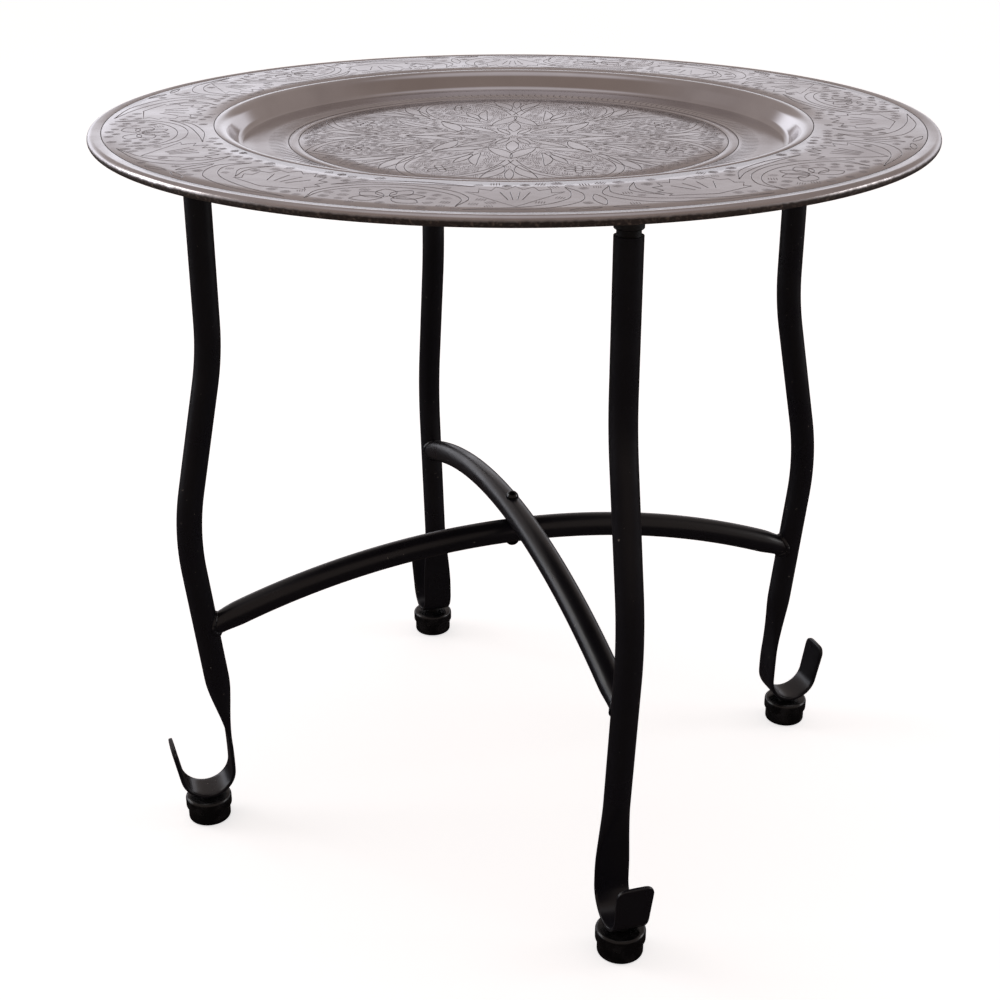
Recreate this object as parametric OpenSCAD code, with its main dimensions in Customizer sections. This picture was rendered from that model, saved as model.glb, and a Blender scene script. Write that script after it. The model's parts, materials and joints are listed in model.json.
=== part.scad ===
// Tray table: a loose round metal tray on a folding stand of two crossed tube frames.
// Origin on the floor under the pivot. +X and -X are the lower frame's legs, -Y and +Y the upper frame's.

/* [Tray] */
// Diameter over the rolled rim
tray_d = 500; // [480:5:520]
// Height of the flange above the floor
table_h = 456; // [440:1:480]
// Thickness of the tray's sheet
sheet_t = 1.2; // [1:0.1:1.4]
// Depth of the well below the flange
well_depth = 12; // [10:0.5:14]
// Radius where the flat flange starts to turn down into the well
shoulder_r = 175; // [170:1:178]
// Slope of the well's wall from the horizontal, in degrees
wall_slope = 60; // [50:1:70]
// Thickness of the rim rolled round its wire
rim_d = 6.3; // [5.8:0.1:7]

/* [Frame tube] */
// Outer diameter of the legs and stretchers
tube_d = 15.9; // [15:0.1:17]
// Wall of the tube
tube_t = 1.2; // [1:0.1:1.5]
// Gap between the two stretchers where they cross
cross_gap = 0.3; // [0.2:0.1:1]

/* [Leg] */
// Distance of the upright upper leg from the table's centre
top_r = 191.5; // [186:0.5:194]
// Length of the rubber rest's head and neck above the tube's end
rest_h = 24.5; // [20:0.5:28]
// Distance of the leg's outward crest from the centre
crest_r = 213.8; // [208:0.2:218]
// Height of the crest
crest_z = 210; // [205:1:220]
// Lean of the leg between the upright and the crest, in degrees
lean_out = 11; // [10:0.5:13]
// Lean of the leg below the crest, in degrees
lean_in = 6.4; // [5.5:0.1:7]
// Bend radius at the top of the lean
bend_r = 200; // [150:5:220]
// Bend radius at the crest
crest_bend_r = 178; // [140:2:190]

/* [Hooked foot] */
// Height where the tube starts to flatten
flatten_z = 105; // [100:1:110]
// Thickness of the flattened strip
strip_t = 2.8; // [2.6:0.1:3.4]
// Width of the flattened strip at the hook
strip_w = 21.6; // [20:0.2:23]
// Width of the strip at the hook's tip
tip_w = 23.4; // [22:0.2:25]
// Distance of the strip from the centre where it goes down into the hook
strip_r = 196.5; // [194:0.5:198]
// Radius of the hook's curve, to the middle of the strip
hook_r = 17; // [15:0.5:19]
// Lean of the hook's free arm away from the leg, in degrees
arm_lean = 11; // [5:1:15]
// Height of the hook's tip
tip_z = 60; // [54:1:66]

/* [Rubber foot] */
// Height of the rubber foot
foot_h = 18.1; // [17:0.1:20]
// Diameter of the foot's upper ring
foot_d = 30.3; // [28:0.1:32]
// Diameter of the foot's lower part
foot_low_d = 27.8; // [25:0.1:28]
// Diameter of the stud in the foot
stud_d = 6; // [5:0.1:7]

/* [Stretchers and pivot] */
// Height of the lower stretcher's arch, middle of the tube
low_apex_z = 182.8; // [181:0.2:186]
// Radius of the lower stretcher's arch
low_arch_r = 527; // [500:5:560]
// Radius of the upper stretcher's arch
up_arch_r = 578; // [560:5:620]
// Diameter of the pivot rivet
rivet_d = 5; // [4:0.1:6]
// Diameter of the rivet's two domed heads
rivet_head_d = 8.4; // [8.4:0.1:11]
// Height of the rivet's upper head
rivet_head_h = 4.0; // [2:0.1:4.2]
// Height of the rivet's lower head
rivet_tail_h = 2.4; // [2:0.1:3]

/* [Hidden] */
$fn = 96;

// Directions of the four legs, seen from above
right = 0;
back = 90;
left = 180;
front = 270;

over = 1;                   // how far a cutter runs past what it cuts
tray_gap = 0.3;             // rest to tray, so that the loose tray can lift
fit_gap = 0.05;             // radial clearance of a turning or sliding fit
tube_r = tube_d / 2;
bore_r = tube_r - tube_t;
lap = 1;                    // how far a straight length runs on inside a bend
hair = 0.1;                 // smallest step between two faces that would else coincide

// Tray section: the sheet's upper face, from the floor of the well to the roll of the rim
floor_z = table_h - well_depth;
shoulder_bend = 7.2;        // outside radius of the bend at the shoulder
heel_bend = 5;              // inside radius of the bend at the foot of the wall
shoulder_c = [shoulder_r, table_h - shoulder_bend];
wall_drop = well_depth - (shoulder_bend + heel_bend) * (1 - cos(wall_slope));
wall_run = wall_drop / tan(wall_slope);
heel_c = [shoulder_r - (shoulder_bend + heel_bend) * sin(wall_slope) - wall_run, floor_z + heel_bend];
rim_r = rim_d / 2;
rim_c = [tray_d / 2 - rim_r, table_h - rim_r];
wire_r = rim_r - sheet_t - fit_gap;
roll_open = 60;             // part of the roll left open under the flange, in degrees

// Leg centreline in its own upright plane, as [distance from centre, height]
tube_top_z = table_h - sheet_t - tray_gap - rest_h;
corner_z = crest_z + (crest_r - top_r) / tan(lean_out);
bend_len = bend_r * tan(lean_out / 2);
crest_len = crest_bend_r * tan((lean_out + lean_in) / 2);
bend_top = [top_r, corner_z + bend_len];
bend_end = [top_r + bend_len * sin(lean_out), corner_z - bend_len * cos(lean_out)];
crest_top = [crest_r - crest_len * sin(lean_out), crest_z + crest_len * cos(lean_out)];
crest_end = [crest_r - crest_len * sin(lean_in), crest_z - crest_len * cos(lean_in)];
flatten_top = [crest_r - (crest_z - flatten_z) * tan(lean_in), flatten_z];

// Hook: centre of its curve, and the point where the free arm leaves it
hook_c = [strip_r + hook_r, foot_h + 2 + strip_t / 2 + hook_r];
arm_start = hook_c + hook_r * [cos(arm_lean), -sin(arm_lean)];
arm_len = (tip_z - arm_start[1]) / cos(arm_lean);
tip_round = 6;              // corner radius of the strip's free end

// Flattening of the tube: straight lean first, then an easy turn to upright
turn_z = flatten_z - (flatten_top[0] - strip_r) / tan(lean_in);
turn_half = turn_z - hook_c[1];
function smooth(t) = t <= 0 ? 0 : t >= 1 ? 1 : t * t * (3 - 2 * t);
function ankle_r(z) = z > turn_z + turn_half
    ? strip_r + (z - turn_z) * tan(lean_in)
    : strip_r + pow(z - hook_c[1], 2) * tan(lean_in) / (4 * turn_half);
function ankle_lean(z) = z > turn_z + turn_half
    ? lean_in
    : atan(tan(lean_in) * (z - hook_c[1]) / (2 * turn_half));
ankle_rings = 14;
ankle_sides = 32;
flat_end_z = 60;            // height where the strip is fully flat

// Stretchers
up_apex_z = low_apex_z + tube_d + cross_gap;
weld_r = 2;                 // size of the weld bead's section
seat_drop = 1.4;            // how far the rivet's head reaches down the sides of the tube

function arch_z(x, apex_z, arch_r) = apex_z - arch_r + sqrt(arch_r * arch_r - x * x);
function leg_axis_r(z) = crest_r - (crest_z - z) * tan(lean_in);
// Where an arch's centreline meets the leg's, found by a few rounds of substitution
function meet_r(apex_z, arch_r, r = 205, rounds = 6) =
    rounds == 0 ? r : meet_r(apex_z, arch_r, leg_axis_r(arch_z(r, apex_z, arch_r)), rounds - 1);

// ---- tray ----

// A quarter-turn or less of sheet bent at a constant radius
module sheet_bend(centre, inner, from, to) {
    reach = 2 * (inner + sheet_t);
    middle = (from + to) / 2;
    translate(centre)
        intersection() {
            difference() {
                circle(r = inner + sheet_t);
                circle(r = inner);
            }
            polygon([[0, 0], for (a = [from, middle, to]) reach * [cos(a), sin(a)]]);
        }
}

module sheet_wall() {
    normal = [-sin(wall_slope), cos(wall_slope)];
    high = shoulder_c + shoulder_bend * normal;
    low = heel_c - heel_bend * normal;
    polygon([high, low, low - sheet_t * normal, high - sheet_t * normal]);
}

module rim_roll() {
    reach = 2 * rim_r;
    translate(rim_c)
        difference() {
            circle(r = rim_r);
            circle(r = rim_r - sheet_t);
            polygon([[0, 0], for (k = [0:2]) reach * [cos(90 + k * roll_open / 2), sin(90 + k * roll_open / 2)]]);
        }
}

module tray_section() {
    translate([0, floor_z - sheet_t])
        square([heel_c[0], sheet_t]);
    sheet_bend(heel_c, heel_bend, 270, 270 + wall_slope);
    sheet_wall();
    sheet_bend(shoulder_c, shoulder_bend - sheet_t, 90, 90 + wall_slope);
    translate([shoulder_r, table_h - sheet_t])
        square([rim_c[0] - shoulder_r, sheet_t]);
    rim_roll();
}

module tray() {
    color("silver")
        rotate_extrude($fn = 180)
            tray_section();
}

module rim_wire() {
    color("dimgray")
        rotate_extrude($fn = 180)
            translate(rim_c)
                circle(r = wire_r, $fn = 32);
}

// ---- legs ----

module ring_section(outer, inner) {
    difference() {
        circle(r = outer);
        circle(r = inner);
    }
}

// Straight tube between two points of the leg's plane. An end may lap into a bend, and its wall is
// a hair thinner than the bend's so that no two faces lie on each other.
module tube_run(low, high, lap_low, lap_high) {
    run = high - low;
    translate([low[0], 0, low[1]])
        rotate([0, atan2(run[0], run[1]), 0])
            translate([0, 0, -lap_low])
                linear_extrude(lap_low + norm(run) + lap_high)
                    ring_section(tube_r - hair, bore_r + hair);
}

// Bent tube in the leg's plane, round a centre
module tube_bend(centre, radius, from, sweep) {
    translate([centre[0], 0, centre[1]])
        rotate([90, 0, 0])
            rotate([0, 0, from])
                rotate_extrude(angle = sweep, $fn = 240)
                    translate([radius, 0])
                        ring_section(tube_r, bore_r, $fn = 64);
}

// One ring of the flattening tube: a circle at the top that turns into a flat round-edged strip
function ankle_ring(z) =
    let (t = smooth((flatten_z - z) / (flatten_z - flat_end_z)),
         half_t = tube_r + (strip_t / 2 - tube_r) * t,
         half_w = tube_r + (strip_w / 2 - tube_r) * t,
         squareness = 1 - 0.55 * t,
         lean = ankle_lean(z))
    [for (k = [0:ankle_sides - 1])
        let (a = 360 * k / ankle_sides,
             u = half_t * sign(cos(a)) * pow(abs(cos(a)), squareness),
             v = half_w * sign(sin(a)) * pow(abs(sin(a)), squareness))
        [ankle_r(z) + u * cos(lean), v, z - u * sin(lean)]];

module ankle() {
    heights = [for (k = [0:ankle_rings]) flatten_z + (hook_c[1] - flatten_z) * k / ankle_rings];
    n = ankle_sides;
    points = [for (z = heights) each ankle_ring(z)];
    polyhedron(points, faces = [
        [for (k = [n - 1:-1:0]) k],
        [for (k = [0:n - 1]) ankle_rings * n + k],
        for (i = [0:ankle_rings - 1], k = [0:n - 1])
            [i * n + k, i * n + (k + 1) % n, (i + 1) * n + (k + 1) % n, (i + 1) * n + k]
    ]);
}

// The strip's curve under the leg and its free arm
module hook() {
    translate([hook_c[0], 0, hook_c[1]])
        rotate([90, 0, 0])
            rotate([0, 0, 180])
                rotate_extrude(angle = 180 - arm_lean, $fn = 120)
                    translate([hook_r - strip_t / 2, -strip_w / 2])
                        square([strip_t, strip_w]);
    translate([arm_start[0], 0, arm_start[1]])
        rotate([0, arm_lean, 0])
            rotate([90, 0, 90])
                translate([0, 0, hair - strip_t / 2])
                    linear_extrude(strip_t - 2 * hair)
                        arm_outline();
}

module arm_outline() {
    square_len = arm_len - tip_round;
    half_w = strip_w / 2 - hair;
    polygon([[-half_w, -lap], [half_w, -lap], [half_w, 0], [tip_w / 2, square_len], [-tip_w / 2, square_len],
             [-half_w, 0]]);
    translate([-tip_w / 2 + tip_round, square_len])
        square([tip_w - 2 * tip_round, tip_round]);
    for (side = [-1, 1])
        translate([side * (tip_w / 2 - tip_round), square_len])
            circle(r = tip_round, $fn = 48);
}

module leg(direction) {
    color("#1d1d20")
        rotate([0, 0, direction]) {
            tube_run(bend_top, [top_r, tube_top_z], lap, 0);
            tube_bend([top_r + bend_r, bend_top[1]], bend_r, 180, lean_out);
            tube_run(crest_top, bend_end, lap, lap);
            tube_bend(crest_end - crest_bend_r * [cos(lean_in), -sin(lean_in)],
                      crest_bend_r, -lean_in, lean_out + lean_in);
            tube_run(flatten_top, crest_end, 0, lap);
            ankle();
            hook();
        }
}

module leg_left() { leg(left); }
module leg_right() { leg(right); }
module leg_front() { leg(front); }
module leg_back() { leg(back); }

// ---- stretchers, welds and pivot ----

module arch(apex_z, arch_r, outer, inner) {
    reach = meet_r(apex_z, arch_r);
    half = asin(reach / arch_r);
    translate([0, 0, apex_z - arch_r])
        rotate([90, 0, 0])
            rotate([0, 0, 90 - half])
                rotate_extrude(angle = 2 * half, $fn = 360)
                    translate([arch_r, 0])
                        if (inner > 0)
                            ring_section(outer, inner, $fn = 64);
                        else
                            circle(r = outer, $fn = 64);
}

// Solid stand-ins for the two legs' straight lower runs, to cope what is welded to them
module both_shins() {
    for (side = [0, 180])
        rotate([0, 0, side])
            translate([flatten_top[0], 0, flatten_top[1]])
                rotate([0, lean_in, 0])
                    cylinder(r = tube_r + 0.02, h = crest_end[1] - flatten_z);
}

module stretcher(apex_z, arch_r, hole_r) {
    difference() {
        arch(apex_z, arch_r, tube_r, bore_r);
        both_shins();
        translate([0, 0, apex_z - tube_d])
            cylinder(r = hole_r, h = 2 * tube_d, $fn = 48);
    }
}

module lower_stretcher() {
    color("#232326")
        stretcher(low_apex_z, low_arch_r, rivet_d / 2 + fit_gap);
}

module upper_stretcher() {
    color("#232326")
        rotate([0, 0, back])
            stretcher(up_apex_z, up_arch_r, rivet_d / 2 + 0.01);
}

// A bead round each end of a stretcher, in the corner it makes with the leg
module welds(apex_z, arch_r) {
    reach = meet_r(apex_z, arch_r) - tube_r - weld_r / 2;
    fall = asin(reach / arch_r);
    difference() {
        for (side = [0, 180])
            rotate([0, 0, side])
                translate([reach, 0, arch_z(reach, apex_z, arch_r)])
                    rotate([0, 90 + fall, 0])
                        rotate_extrude()
                            translate([tube_r, 0])
                                circle(r = weld_r, $fn = 24);
        both_shins();
        arch(apex_z, arch_r, tube_r + 0.01, 0);
    }
}

module lower_welds() {
    color("#2a2a2c")
        welds(low_apex_z, low_arch_r);
}

module upper_welds() {
    color("#2a2a2c")
        rotate([0, 0, back])
            welds(up_apex_z, up_arch_r);
}

// Dome standing on a round base, no higher than half its width
module dome(base_d, height) {
    ball_r = (pow(base_d / 2, 2) + height * height) / (2 * height);
    rotate_extrude($fn = 48)
        intersection() {
            translate([0, height - ball_r])
                circle(r = ball_r);
            square([base_d, height]);
        }
}

// Set in the upper stretcher; its lower head turns under the lower one
module pivot_rivet() {
    head_z = up_apex_z + tube_r + 0.2;
    tail_z = low_apex_z - tube_r - cross_gap;
    color("#141416") {
        difference() {
            translate([0, 0, head_z - seat_drop])
                cylinder(d = rivet_head_d, h = seat_drop, $fn = 48);
            rotate([0, 0, back])
                arch(up_apex_z, up_arch_r, tube_r, 0);
        }
        translate([0, 0, head_z])
            dome(rivet_head_d, rivet_head_h);
        translate([0, 0, tail_z])
            cylinder(d = rivet_d, h = head_z - tail_z, $fn = 48);
        translate([0, 0, tail_z])
            mirror([0, 0, 1])
                dome(rivet_head_d, rivet_tail_h);
    }
}

// ---- rubber rests on the leg tops ----

module rest(direction) {
    neck_r = 6.5;
    head_r = 8;
    neck_h = 3.5;
    stem_len = 22;
    edge = 1.5;
    color("#111113")
        rotate([0, 0, direction])
            translate([top_r, 0, tube_top_z])
                rotate_extrude($fn = 48) {
                    translate([0, -stem_len])
                        square([neck_r, stem_len + neck_h]);
                    for (k = [0:2])
                        translate([0, -stem_len + 2 + 7 * k])
                            square([bore_r - 0.01, 2.5]);
                    translate([0, neck_h])
                        square([head_r, rest_h - neck_h - edge]);
                    translate([0, rest_h - edge])
                        square([head_r - edge, edge]);
                    translate([head_r - edge, rest_h - edge])
                        circle(r = edge, $fn = 32);
                }
}

module rest_left() { rest(left); }
module rest_right() { rest(right); }
module rest_front() { rest(front); }
module rest_back() { rest(back); }

// ---- rubber feet and their studs ----

stud_deep = 11;             // depth of the stud in the rubber
collar_d = 12;
bore_deep = stud_deep + 1;

module foot_stud(direction) {
    color("#39393c")
        rotate([0, 0, direction])
            difference() {
                translate([hook_c[0], 0, 0]) {
                    translate([0, 0, foot_h])
                        cylinder(d = collar_d, h = 4, $fn = 48);
                    translate([0, 0, foot_h - stud_deep])
                        cylinder(d = stud_d, h = stud_deep + over, $fn = 48);
                }
                translate([hook_c[0], collar_d, hook_c[1]])
                    rotate([90, 0, 0])
                        cylinder(r = hook_r + strip_t / 2, h = 2 * collar_d, $fn = 120);
            }
}

module foot_stud_left() { foot_stud(left); }
module foot_stud_right() { foot_stud(right); }
module foot_stud_front() { foot_stud(front); }
module foot_stud_back() { foot_stud(back); }

module foot(direction) {
    low_h = 8.6;
    groove_h = 0.8;
    groove_r = foot_low_d / 2 - 0.7;
    chamfer = 1.6;
    color("#0e0e10")
        rotate([0, 0, direction])
            translate([hook_c[0], 0, 0])
                difference() {
                    rotate_extrude($fn = 72)
                        polygon([[0, 0], [foot_low_d / 2 - 0.6, 0], [foot_low_d / 2, 0.6],
                                 [foot_low_d / 2, low_h], [groove_r, low_h], [groove_r, low_h + groove_h],
                                 [foot_d / 2 - 0.5, low_h + groove_h], [foot_d / 2, low_h + groove_h + 0.5],
                                 [foot_d / 2, foot_h - chamfer], [foot_d / 2 - chamfer, foot_h], [0, foot_h]]);
                    translate([0, 0, foot_h - bore_deep])
                        cylinder(r = stud_d / 2 + 0.01, h = bore_deep + over, $fn = 48);
                }
}

module foot_left() { foot(left); }
module foot_right() { foot(right); }
module foot_front() { foot(front); }
module foot_back() { foot(back); }

tray();
rim_wire();
leg_left();
leg_right();
leg_front();
leg_back();
lower_stretcher();
upper_stretcher();
lower_welds();
upper_welds();
pivot_rivet();
rest_left();
rest_right();
rest_front();
rest_back();
foot_stud_left();
foot_stud_right();
foot_stud_front();
foot_stud_back();
foot_left();
foot_right();
foot_front();
foot_back();
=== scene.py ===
# %% [markdown]
# # A tray table: a punched metal tray on a folding stand of bent tube
#
# The real table is three things that come apart: a stand of two crossed tube frames that fold
# about one rivet, and a loose round tray that rests on four rubber plugs. The engineering model
# already says where every piece is and how it moves. This lesson gives each piece its finished
# shape and its surface. It starts by loading that model as a fixed frame.

# %% Load the frame
import json
import math
import random

import bmesh
import bpy
import numpy as np
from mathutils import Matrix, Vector


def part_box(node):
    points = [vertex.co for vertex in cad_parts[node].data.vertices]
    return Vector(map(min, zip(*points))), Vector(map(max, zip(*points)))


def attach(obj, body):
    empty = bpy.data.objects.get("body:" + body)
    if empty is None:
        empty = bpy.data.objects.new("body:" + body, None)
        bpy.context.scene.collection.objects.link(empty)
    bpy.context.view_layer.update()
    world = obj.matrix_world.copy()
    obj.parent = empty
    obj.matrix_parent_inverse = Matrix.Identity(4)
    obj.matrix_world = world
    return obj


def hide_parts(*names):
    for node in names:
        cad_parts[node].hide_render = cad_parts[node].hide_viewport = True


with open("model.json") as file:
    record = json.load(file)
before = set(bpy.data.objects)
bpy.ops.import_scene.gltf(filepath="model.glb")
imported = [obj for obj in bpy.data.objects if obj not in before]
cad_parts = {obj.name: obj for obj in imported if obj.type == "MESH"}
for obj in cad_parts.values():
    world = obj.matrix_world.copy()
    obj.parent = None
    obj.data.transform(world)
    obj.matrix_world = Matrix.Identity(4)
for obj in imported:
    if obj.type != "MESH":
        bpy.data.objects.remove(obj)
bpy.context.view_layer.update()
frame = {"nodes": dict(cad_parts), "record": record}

MM = 0.001
LEGS = {"right": 0, "back": 90, "left": 180, "front": 270}
BODY = {node: body for body, nodes in frame["record"]["behaviour"]["bodies"].items()
        for node in nodes}
print("nodes in the frame:", len(frame["nodes"]))


# %% [markdown]
# ## Small tools
#
# Everything below is measured in millimetres and turned into metres once, when a mesh is made.
# `add_node` adds one node to any tree, and the short functions after it add the kinds that come up
# again and again. `turned` spins an outline round an upright axis as a lathe does, `skinned` joins
# a row of rings into one closed skin, and `baked` runs an object's Geometry Nodes and keeps the
# plain mesh that they made.

# %% Colours and nodes
def srgb(code):
    """A hex colour as people write it, turned into the linear light values that shaders use."""
    parts = [int(code[i:i + 2], 16) / 255 for i in (1, 3, 5)]
    linear = [c / 12.92 if c <= 0.04045 else ((c + 0.055) / 1.055) ** 2.4 for c in parts]
    return (*linear, 1.0)


def add_node(tree, kind, inputs=None, **settings):
    """One node. inputs maps a socket's name or number to a value or to the socket that feeds it."""
    node = tree.nodes.new(kind)
    for name, value in settings.items():
        setattr(node, name, value)
    for socket, value in (inputs or {}).items():
        if isinstance(value, bpy.types.NodeSocket):
            tree.links.new(value, node.inputs[socket])
        else:
            node.inputs[socket].default_value = value
    return node


def maths(tree, operation, *values):
    """One sum. The values are numbers or sockets."""
    return add_node(tree, "ShaderNodeMath", dict(enumerate(values)), operation=operation).outputs[0]


def ramp(tree, value, start, end, low=0.0, high=1.0, smooth=False):
    """Takes a value from start..end to low..high, and holds it there beyond them."""
    kind = "SMOOTHSTEP" if smooth else "LINEAR"
    return add_node(tree, "ShaderNodeMapRange", {0: value, 1: start, 2: end, 3: low, 4: high},
                    interpolation_type=kind).outputs[0]


def blend(tree, share, first, second):
    """Mixes two colours, or a colour and a socket."""
    return add_node(tree, "ShaderNodeMix", {0: share, 6: first, 7: second},
                    data_type="RGBA").outputs[2]


def noise(tree, place, scale, detail, **more):
    return add_node(tree, "ShaderNodeTexNoise", {"Vector": place, "Scale": scale, "Detail": detail,
                                                 **more}).outputs[0]


def bumped(tree, height, strength, distance, **more):
    return add_node(tree, "ShaderNodeBump", {"Height": height, "Strength": strength,
                                             "Distance": distance, **more}).outputs[0]


# %% Meshes
def new_object(name, data):
    thing = bpy.data.objects.new(name, data)
    bpy.context.scene.collection.objects.link(thing)
    return thing


def face_outwards(mesh):
    """Turns every face of each closed skin outwards."""
    skin = bmesh.new()
    skin.from_mesh(mesh)
    bmesh.ops.recalc_face_normals(skin, faces=skin.faces)
    skin.to_mesh(mesh)
    skin.free()


def make_object(name, vertices, faces, smooth_angle=35):
    mesh = bpy.data.meshes.new(name)
    mesh.from_pydata([tuple(MM * c for c in v) for v in vertices], [], faces)
    mesh.validate()
    face_outwards(mesh)
    mesh.shade_smooth()
    mesh.set_sharp_from_angle(angle=math.radians(smooth_angle))
    return new_object(name, mesh)


def turned(name, outline, steps, centre=(0, 0), smooth_angle=35):
    """Spins an outline of (radius, height) points round an upright axis. An outline that starts on
    the axis also ends there; any other closes on itself."""
    closed = outline[0][0] > 0
    round_trip = [2 * math.pi * k / steps for k in range(steps)]
    vertices, rows = [], []
    for radius, height in outline:
        if radius == 0:
            rows.append([len(vertices)] * steps)
            vertices.append((centre[0], centre[1], height))
            continue
        rows.append(list(range(len(vertices), len(vertices) + steps)))
        vertices += [(centre[0] + radius * math.cos(a), centre[1] + radius * math.sin(a), height)
                     for a in round_trip]
    faces = []
    for i in range(len(rows) if closed else len(rows) - 1):
        low, high = rows[i], rows[(i + 1) % len(rows)]
        for k in range(steps):
            n = (k + 1) % steps
            corners = [low[k], low[n], high[n], high[k]]
            faces.append(list(dict.fromkeys(corners)))
    return make_object(name, vertices, faces, smooth_angle)


def skinned(name, rings, closed=False, smooth_angle=35):
    """Joins rings of the same number of points into a skin. An open row gets a cap at each end."""
    count = len(rings[0])
    vertices = [tuple(p) for ring in rings for p in ring]
    faces = []
    for i in range(len(rings) if closed else len(rings) - 1):
        j = (i + 1) % len(rings)
        for k in range(count):
            n = (k + 1) % count
            faces.append([i * count + k, i * count + n, j * count + n, j * count + k])
    if not closed:
        faces.append([count - 1 - k for k in range(count)])
        faces.append([(len(rings) - 1) * count + k for k in range(count)])
    return make_object(name, vertices, faces, smooth_angle)


def join_pieces(name, parts):
    with bpy.context.temp_override(active_object=parts[0], selected_editable_objects=parts):
        bpy.ops.object.join()
    parts[0].name = name
    parts[0].data.name = name
    return parts[0]


def baked(piece):
    """Runs the piece's modifiers and keeps the result as its plain mesh."""
    evaluated = piece.evaluated_get(bpy.context.evaluated_depsgraph_get())
    mesh = bpy.data.meshes.new_from_object(evaluated)
    piece.modifiers.clear()
    piece.data = mesh
    triangles = sum(len(p.vertices) - 2 for p in mesh.polygons)
    print(f"{piece.name}: {triangles} triangles")
    return piece


def finish_piece(piece, node, material=None):
    """The piece takes the place of a CAD node, rides on that node's body and wears the material."""
    if material is not None:
        piece.data.materials.clear()
        piece.data.materials.append(material)
    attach(piece, BODY[node])
    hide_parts(node)
    return piece


def arc_points(centre, radius, start, end, steps):
    """Points along an arc, both ends included. Angles are in degrees."""
    angles = [math.radians(start + (end - start) * k / steps) for k in range(steps + 1)]
    return [(centre[0] + radius * math.cos(a), centre[1] + radius * math.sin(a)) for a in angles]


# %% [markdown]
# ## Camera, floor and light
#
# The table stands on a pale sweep of paper in soft light. The camera looks down on it by about
# 24 degrees, with a lens a little longer than normal, and a few degrees left of the lower frame's
# right angle. Polished and lacquered things are drawn by what they reflect, so the room matters as
# much as the lamps: it is bright low down behind the table, and dim and warm behind the camera.

# %% Camera
LENS = 58.87
camera_place = Vector((-302.3, -944.5, 637)) * MM
camera_heading = math.radians(-17.28)
camera_pitch = math.radians(23.56)

camera_data = bpy.data.cameras.new("camera")
camera_data.lens = LENS
camera = new_object("camera", camera_data)
camera.location = camera_place
camera.rotation_euler = (math.pi / 2 - camera_pitch, 0, camera_heading)
bpy.context.scene.camera = camera
bpy.context.scene.view_settings.view_transform = "Standard"

# %% Floor
FLOOR_HALF = 9.0
LIGHT_TABLE = 0.66    # how much the paper glows; what is left of its white comes from the room
PAPER = srgb("#FBFAFB")
# the paper's colour as glossy rays see it: a painted dark reflection
PAINTED_DARK_REFLECTION = srgb("#45403D")


def floor_material():
    """White paper sweep, lit from below as on a light table. Glossy rays see it in a dark colour:
    a painted dark reflection in the black tubes and every other glossy surface."""
    material = bpy.data.materials.new("white_paper_sweep")
    material.use_nodes = True
    tree = material.node_tree
    tree.nodes.clear()
    path = add_node(tree, "ShaderNodeLightPath")
    shade = blend(tree, path.outputs["Is Glossy Ray"], PAPER, PAINTED_DARK_REFLECTION)
    paper = add_node(tree, "ShaderNodeBsdfDiffuse", {"Color": shade})
    glow = maths(tree, "MULTIPLY", path.outputs["Is Camera Ray"], LIGHT_TABLE)
    lit = add_node(tree, "ShaderNodeEmission", {"Strength": glow})
    both = add_node(tree, "ShaderNodeAddShader", {0: paper.outputs[0], 1: lit.outputs[0]})
    add_node(tree, "ShaderNodeOutputMaterial", {"Surface": both.outputs[0]})
    return material


floor_mesh = bpy.data.meshes.new("floor")
floor_corners = [(x * FLOOR_HALF, y * FLOOR_HALF, 0)
                 for x, y in ((-1, -1), (1, -1), (1, 1), (-1, 1))]
floor_mesh.from_pydata(floor_corners, [], [(0, 1, 2, 3)])
floor_mesh.materials.append(floor_material())
floor = new_object("floor", floor_mesh)

# %% Room
ROOM_BRIGHT = srgb("#F6F4FA")
ROOM_DIM = srgb("#93867F")
SEEN_WHITE = (1.1, 1.1, 1.1, 1)


def build_room():
    """Bright low down behind the table, most of all on the left, and at its sides, with a soft glow
    straight overhead, and dim and warm behind the camera. Seen directly the room is white."""
    world = bpy.data.worlds.new("room")
    world.use_nodes = True
    tree = world.node_tree
    tree.nodes.clear()
    gaze = add_node(tree, "ShaderNodeTexCoord").outputs["Generated"]

    def share_of(direction):
        """How far the line of sight points in a direction, from -1 to 1."""
        return add_node(tree, "ShaderNodeVectorMath", {0: gaze, 1: direction},
                        operation="DOT_PRODUCT").outputs["Value"]

    along = share_of(Vector((-math.sin(camera_heading), math.cos(camera_heading), 0)))
    beside = share_of(Vector((math.cos(camera_heading), math.sin(camera_heading), 0)))
    height = add_node(tree, "ShaderNodeSeparateXYZ", {0: gaze}).outputs["Z"]
    far = ramp(tree, along, -0.45, 0.25, smooth=True)
    ahead = ramp(tree, along, -0.25, 0.0, smooth=True)
    left = ramp(tree, beside, -0.72, -0.98, 0.0, 1.2, smooth=True)
    right = ramp(tree, beside, 0.70, 0.98, 0.0, 0.2, smooth=True)
    tilt = ramp(tree, beside, -0.3, 0.3, 1.4, 0.82)
    low = ramp(tree, height, 0.16, 0.27, 1.08, 0.1, smooth=True)
    overhead = ramp(tree, height, 0.82, 0.98, 0.0, 0.4, smooth=True)
    sides = maths(tree, "MULTIPLY_ADD", left, ahead, right)
    bright = maths(tree, "MULTIPLY_ADD", far, tilt, sides)
    part = maths(tree, "MULTIPLY_ADD", bright, low, overhead)
    colour = add_node(tree, "ShaderNodeMix", {0: part, 6: ROOM_DIM, 7: ROOM_BRIGHT},
                      data_type="RGBA", clamp_factor=False)
    direct = add_node(tree, "ShaderNodeLightPath").outputs["Is Camera Ray"]
    seen = blend(tree, direct, colour.outputs[2], SEEN_WHITE)
    background = add_node(tree, "ShaderNodeBackground", {"Color": seen})
    add_node(tree, "ShaderNodeOutputWorld", {"Surface": background.outputs[0]})
    bpy.context.scene.world = world


build_room()


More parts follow.
